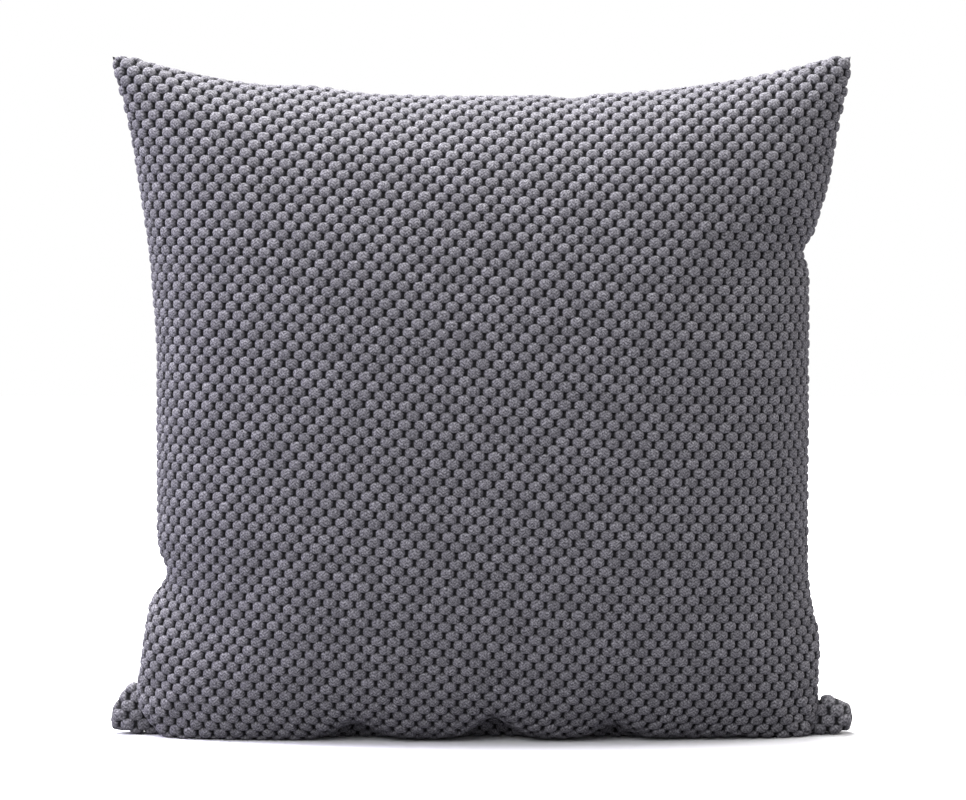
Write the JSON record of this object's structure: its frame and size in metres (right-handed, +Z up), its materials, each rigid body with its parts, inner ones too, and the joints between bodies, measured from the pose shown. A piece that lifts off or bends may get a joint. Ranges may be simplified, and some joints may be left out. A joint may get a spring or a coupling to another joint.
{
  "type": "throw pillow",
  "caption": "Square throw pillow in a grey bubble-knit cover with a hidden zip in the bottom seam and a loose filled insert, standing on its bottom edge.",
  "frame": {"origin": "on the ground, under the middle of the bottom seam", "axes": "+Z up, the front face towards -Y, +X to the right as the front is looked at"},
  "size_m": [0.488, 0.162, 0.444],
  "materials": {
    "bubble_knit": "matte",
    "cover_thread": "matte",
    "zip_tape": "matte",
    "zip_coil": "satin",
    "zip_metal": "satin",
    "zip_thread": "matte",
    "label_satin": "satin",
    "casing_cloth": "matte",
    "casing_thread": "matte",
    "polyester_fill": "matte"
  },
  "bodies": {
    "pillow": {"cover_front_panel": "bubble_knit", "cover_back_panel": "bubble_knit", "cover_seam_top": "cover_thread", "cover_seam_left": "cover_thread", "cover_seam_right": "cover_thread", "cover_seam_bottom_left": "cover_thread", "cover_seam_bottom_right": "cover_thread", "cover_care_label": "label_satin", "zip_tape_front": "zip_tape", "zip_tape_back": "zip_tape", "zip_coil_front": "zip_coil", "zip_coil_back": "zip_coil", "zip_top_stops": "zip_metal", "zip_bottom_stop": "zip_metal", "zip_bar_tacks": "zip_thread", "zip_stitching_front": "zip_thread", "zip_stitching_back": "zip_thread", "insert_casing_front": "casing_cloth", "insert_casing_back": "casing_cloth", "insert_closing_seam": "casing_thread", "insert_seam_left": "casing_thread", "insert_seam_right": "casing_thread", "insert_seam_bottom": "casing_thread", "insert_care_label": "label_satin", "insert_fill": "polyester_fill"},
    "slider": {"zip_slider": "zip_metal"},
    "pull_tab": {"zip_pull_tab": "zip_metal"}
  },
  "joints": [
    {"name": "zip_slider_travel", "type": "slide", "parent": "pillow", "child": "slider", "axis": [-1, 0, 0], "range_m": [0, 0.3254]},
    {"name": "zip_pull_swing", "type": "hinge", "parent": "slider", "child": "pull_tab", "pos_m": [0.1611, 0, 0.0039], "axis": [0, -1, 0], "range_deg": [0, 160]}
  ]
}
